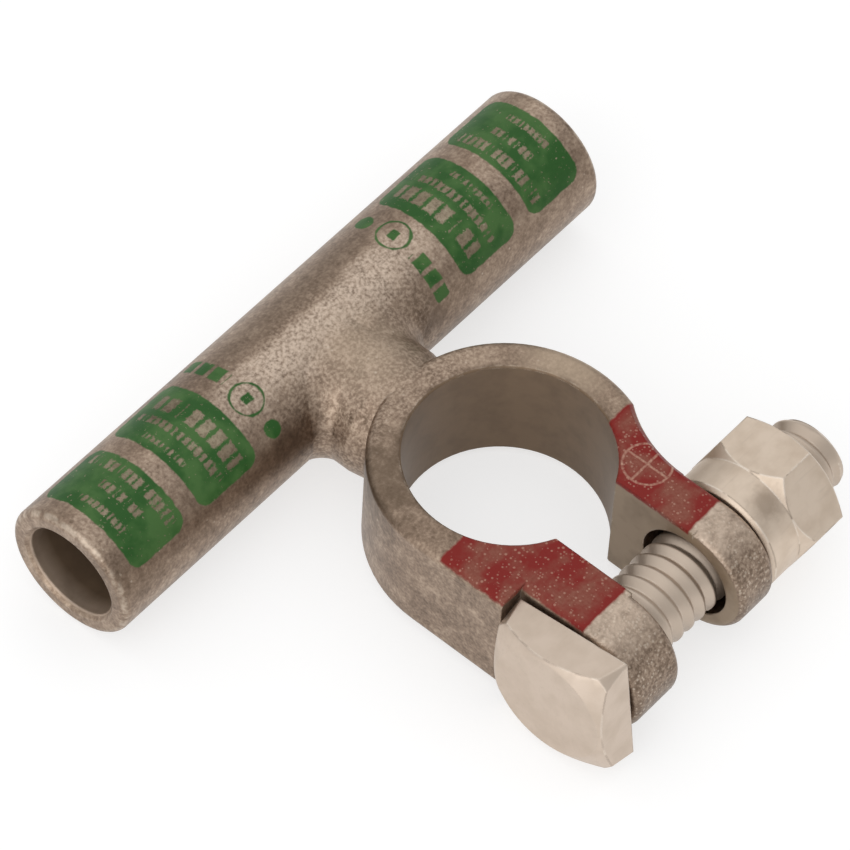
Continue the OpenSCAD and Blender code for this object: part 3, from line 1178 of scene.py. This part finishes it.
@dataclass(frozen=True)
class ThreadedBolt:
    """The square-head bolt with its rolled thread.

    It is modelled with one unit to the millimetre, at which the boolean is sure, and then brought to metres.
    Lengths are in millimetres and angles in degrees.
    """

    places: Places
    pitch: float = 25.4 / 18
    groove_depth: float = 0.55
    groove_width: float = 1.1
    groove_flat: float = 0.06
    cutter_past: float = 0.14
    thread_from: float = -7.5
    end_chamfer: float = 0.9
    chamfer_profile: float = 0.6
    rod_sides: int = 96
    rod_gap: float = 0.2
    trim: float = 0.02
    seat: float = 0.5
    edge: float = 0.05
    edge_angle: float = 20.0
    flat_angle: float = 0.5
    merge: float = 0.002
    weld: float = 0.003
    steps: int = 48
    smooth_angle: float = 32.0
    flat_weight: int = 100

    @property
    def rod_from(self) -> float:
        """Where along X the rod shows behind the head."""
        return self.places.head_front + self.places.head_t + self.rod_gap

    def build(self, solid: bpy.types.Object) -> bpy.types.Object:
        """Model the bolt: the head from its solid, and a rod with the thread cut in it.

        Args:
            solid: The bolt's solid in the frame.

        Returns:
            The finished bolt.
        """
        head = self.head_blank(solid)
        self.combine(head, self.rod(), "UNION")
        self.combine(head, self.cutter(), "DIFFERENCE")
        self.weld_slivers(head)
        head.scale = (MM, MM, MM)
        bpy.ops.object.transform_apply(location=True, rotation=True, scale=True)
        bpy.ops.object.shade_smooth_by_angle(angle=math.radians(self.smooth_angle))
        # The broad faces keep their own normals, so that only the narrow edges shade round.
        even = head.modifiers.new("even", "WEIGHTED_NORMAL")
        even.weight = self.flat_weight
        even.keep_sharp = True
        bpy.ops.object.modifier_apply(modifier=even.name)
        head.name = "threaded_bolt"
        head.data.materials.clear()
        LOG.info("built %s with %d faces", head.name, len(head.data.polygons))
        return head

    def head_blank(self, solid: bpy.types.Object) -> bpy.types.Object:
        """Cut the head from a copy of the solid and soften its edges.

        Args:
            solid: The bolt's solid in the frame.

        Returns:
            A closed mesh of the head.
        """
        head = bpy.data.objects.new("bolt_head", solid.data.copy())
        bpy.context.scene.collection.objects.link(head)
        pick(head)
        head.scale = (PER_MM, PER_MM, PER_MM)
        bpy.ops.object.transform_apply(location=True, rotation=True, scale=True)
        bpy.ops.object.mode_set(mode="EDIT")
        bpy.ops.mesh.select_all(action="SELECT")
        bpy.ops.mesh.remove_doubles(threshold=self.merge)
        bpy.ops.mesh.select_all(action="SELECT")
        bpy.ops.mesh.bisect(
            plane_co=(self.places.head_front + self.places.head_t - self.trim, 0.0, 0.0),
            plane_no=(1.0, 0.0, 0.0),
            use_fill=True,
            clear_outer=True,
        )
        bpy.ops.mesh.select_all(action="SELECT")
        bpy.ops.mesh.dissolve_limited(angle_limit=math.radians(self.flat_angle))
        bpy.ops.object.mode_set(mode="OBJECT")
        soften = head.modifiers.new("soften", "BEVEL")
        soften.limit_method = "ANGLE"
        soften.angle_limit = math.radians(self.edge_angle)
        soften.width = self.edge
        soften.segments = 2
        bpy.ops.object.modifier_apply(modifier=soften.name)
        return head

    def rod(self) -> bpy.types.Object:
        """Turn the plain rod with its end chamfered.

        Returns:
            The rod, seated in the head.
        """
        start = self.places.head_front + self.places.head_t - self.seat
        end = self.places.bolt_end
        bpy.ops.object.select_all(action="DESELECT")
        bpy.ops.mesh.primitive_cylinder_add(
            vertices=self.rod_sides,
            radius=self.places.bolt_r,
            depth=end - start,
            location=((start + end) / 2, self.places.bolt_y, self.places.bolt_z),
            rotation=(0.0, math.radians(90), 0.0),
        )
        rod = bpy.context.active_object
        bpy.ops.object.transform_apply(location=True, rotation=True, scale=True)
        bpy.ops.object.mode_set(mode="EDIT")
        bpy.ops.mesh.select_mode(type="FACE")
        bpy.ops.mesh.select_all(action="DESELECT")
        bpy.ops.object.mode_set(mode="OBJECT")
        for polygon in rod.data.polygons:
            polygon.select = abs(polygon.center.x - end) < self.trim
        bpy.ops.object.mode_set(mode="EDIT")
        bpy.ops.mesh.region_to_loop()
        bpy.ops.mesh.bevel(offset=self.end_chamfer, segments=2, profile=self.chamfer_profile)
        bpy.ops.object.mode_set(mode="OBJECT")
        return rod

    def cutter(self) -> bpy.types.Object:
        """Wind a sharp profile into the helix that cuts the thread.

        Returns:
            A closed helical cutter.
        """
        outer = self.places.bolt_r + self.cutter_past
        root = self.places.bolt_r - self.groove_depth
        flare = self.groove_width / 2 * (outer - root) / self.groove_depth
        flat = self.groove_flat
        corners = ((-flare, outer), (flare, outer), (flat, root), (-flat, root))
        bpy.ops.object.select_all(action="DESELECT")
        bpy.ops.mesh.primitive_circle_add(vertices=len(corners), radius=1.0, fill_type="NOTHING")
        cutter = bpy.context.active_object
        for vertex, (along, out) in zip(cutter.data.vertices, corners):
            vertex.co = Vector((along, 0.0, out))
        cutter.location = (self.thread_from, self.places.bolt_y, self.places.bolt_z)
        screw = cutter.modifiers.new("wind", "SCREW")
        screw.axis = "X"
        screw.angle = math.radians(360)
        screw.screw_offset = self.pitch
        screw.iterations = math.ceil((self.places.bolt_end - self.thread_from) / self.pitch) + 2
        screw.steps = self.steps
        screw.render_steps = self.steps
        screw.use_merge_vertices = False
        bpy.ops.object.modifier_apply(modifier=screw.name)
        bpy.ops.object.transform_apply(location=True, rotation=True, scale=True)
        bpy.ops.object.mode_set(mode="EDIT")
        bpy.ops.mesh.select_mode(type="EDGE")
        bpy.ops.mesh.select_all(action="DESELECT")
        bpy.ops.mesh.select_non_manifold()
        bpy.ops.mesh.edge_face_add()
        bpy.ops.mesh.select_all(action="SELECT")
        bpy.ops.mesh.normals_make_consistent(inside=False)
        bpy.ops.object.mode_set(mode="OBJECT")
        return cutter

    def weld_slivers(self, piece: bpy.types.Object) -> None:
        """Close the slivers that cutting leaves.

        Args:
            piece: The piece to mend.
        """
        pick(piece)
        bpy.ops.object.mode_set(mode="EDIT")
        bpy.ops.mesh.select_all(action="SELECT")
        bpy.ops.mesh.remove_doubles(threshold=self.weld)
        bpy.ops.mesh.dissolve_degenerate(threshold=self.weld)
        bpy.ops.object.mode_set(mode="OBJECT")

    @staticmethod
    def combine(piece: bpy.types.Object, tool: bpy.types.Object, operation: str) -> None:
        """Join a tool shape to a piece or cut it away, and remove the tool.

        Args:
            piece: The piece that stays.
            tool: The shape that is used up.
            operation: UNION or DIFFERENCE.
        """
        pick(piece)
        change = piece.modifiers.new("combine", "BOOLEAN")
        change.operation = operation
        change.object = tool
        change.solver = "EXACT"
        bpy.ops.object.modifier_apply(modifier=change.name)
        bpy.data.objects.remove(tool, do_unlink=True)


@dataclass(frozen=True)
class Lamp:
    """A soft studio lamp that looks at the middle of the part."""

    name: str
    place: tuple[float, float, float]
    width: float
    power: float

    def hang(self, aim: Vector) -> None:
        """Put the lamp in the scene.

        Args:
            aim: The point it looks at, in metres.
        """
        light = bpy.data.lights.new(self.name, "AREA")
        light.shape = "SQUARE"
        light.size = self.width
        light.energy = self.power
        lamp = bpy.data.objects.new(self.name, light)
        lamp.location = self.place
        lamp.rotation_euler = (aim - Vector(self.place)).to_track_quat("-Z", "Y").to_euler()
        bpy.context.scene.collection.objects.link(lamp)


@dataclass(frozen=True)
class Studio:
    """The pale floor, the soft light and the camera."""

    places: Places
    eye: tuple[float, float, float] = (-242.49, -177.79, 424.57)
    aim: tuple[float, float, float] = (0.9, 9.69, 5.7)
    roll: float = 3.81
    lens: float = 263.12
    floor_half: float = 3.0
    floor_glow: float = 0.66
    floor_colour: str = "#adadad"
    world_strength: float = 0.66
    lamps: tuple[Lamp, ...] = (
        Lamp("overhead_softbox", (0.1, 0.3, 1.1), 1.8, 3.4),
        Lamp("left_fill", (-0.8, -0.15, 0.4), 1.0, 3.0),
    )

    def set_up(self) -> None:
        """Build the whole studio."""
        aim = Vector(self.aim) * MM
        self.floor()
        self.world()
        for lamp in self.lamps:
            lamp.hang(aim)
        self.camera(aim)
        bpy.context.scene.view_settings.view_transform = "Standard"
        LOG.info("set up the studio")

    def floor(self) -> None:
        """Lay a white floor under the lowest point of the part, which shows as white in the metal too."""
        bpy.ops.object.select_all(action="DESELECT")
        bpy.ops.mesh.primitive_plane_add(
            size=2 * self.floor_half, location=(0.0, 0.0, self.places.floor_z * MM)
        )
        floor = bpy.context.active_object
        floor.name = "studio_floor"
        # Matt white board: the eye gets an even white ground that still takes the part's shadow.
        material, tree = new_tree("pale_floor")
        path = add_node(tree, "ShaderNodeLightPath", {}, {})
        seen = path.outputs["Is Camera Ray"]
        for ray in ("Is Glossy Ray", "Is Transmission Ray"):
            links = {0: seen, 1: path.outputs[ray]}
            seen = add_node(tree, "ShaderNodeMath", {"operation": "MAXIMUM"}, links).outputs[0]
        glow = overlap(tree, [seen, self.floor_glow])
        matt = add_node(tree, "ShaderNodeBsdfDiffuse", {}, {"Color": linear(self.floor_colour)})
        light = add_node(tree, "ShaderNodeEmission", {}, {"Strength": glow})
        both = add_node(tree, "ShaderNodeAddShader", {}, {0: matt.outputs[0], 1: light.outputs[0]})
        add_node(tree, "ShaderNodeOutputMaterial", {}, {"Surface": both.outputs[0]})
        dress(floor, material)

    def world(self) -> None:
        """Fill the room with soft white light."""
        world = bpy.data.worlds.new("studio_room")
        world.use_nodes = True
        tree = world.node_tree
        tree.nodes.clear()
        links = {"Color": (1.0, 1.0, 1.0, 1.0), "Strength": self.world_strength}
        back = add_node(tree, "ShaderNodeBackground", {}, links)
        add_node(tree, "ShaderNodeOutputWorld", {}, {"Surface": back.outputs[0]})
        bpy.context.scene.world = world

    def camera(self, aim: Vector) -> None:
        """Set the camera at the photograph's viewing angle.

        Args:
            aim: The point in the middle of the picture, in metres.
        """
        data = bpy.data.cameras.new("portrait_camera")
        data.lens = self.lens
        data.clip_start = 0.01
        data.clip_end = 20.0
        camera = bpy.data.objects.new("portrait_camera", data)
        eye = Vector(self.eye) * MM
        look = (aim - eye).to_track_quat("-Z", "Y").to_matrix().to_4x4()
        turn = Matrix.Rotation(math.radians(self.roll), 4, "Z")
        camera.matrix_world = Matrix.Translation(eye) @ look @ turn
        bpy.context.scene.collection.objects.link(camera)
        bpy.context.scene.camera = camera


def main() -> None:
    """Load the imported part, dress each piece and set up the studio."""
    logging.basicConfig(level=logging.INFO, format="%(name)s: %(message)s")
    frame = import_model()
    nodes = frame["nodes"]
    places = Places.from_frame(frame)
    dress(nodes[Node.CASTING.value], TinnedCasting().make(places, BarrelPrint(), EarPaint()))
    design = ThreadedBolt(places)
    bolt = design.build(nodes[Node.BOLT.value])
    bolt_finish = PlatedSteel(
        "plated_steel_bolt",
        pale=Finish("#d4c3b3", 0.9, 0.4),
        cloud=Finish("#cab9a8", 0.9, 0.46),
        thread_from=design.rod_from,
    )
    dress(bolt, bolt_finish.make())
    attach(bolt, Body.BOLT.value)
    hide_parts(Node.BOLT.value)
    nut_finish = PlatedSteel(
        "plated_steel_nut",
        pale=Finish("#dac9b7", 0.9, 0.4),
        cloud=Finish("#cbb9a6", 0.9, 0.46),
        # A darker spot on the collar next to the ear.
        blotches=(Blotch((10.8, -18.6, 10.7), 1.9, "#8d7a69", 0.5),),
    )
    dress(nodes[Node.NUT.value], nut_finish.make())
    Studio(places).set_up()


if __name__ == "__main__":
    main()
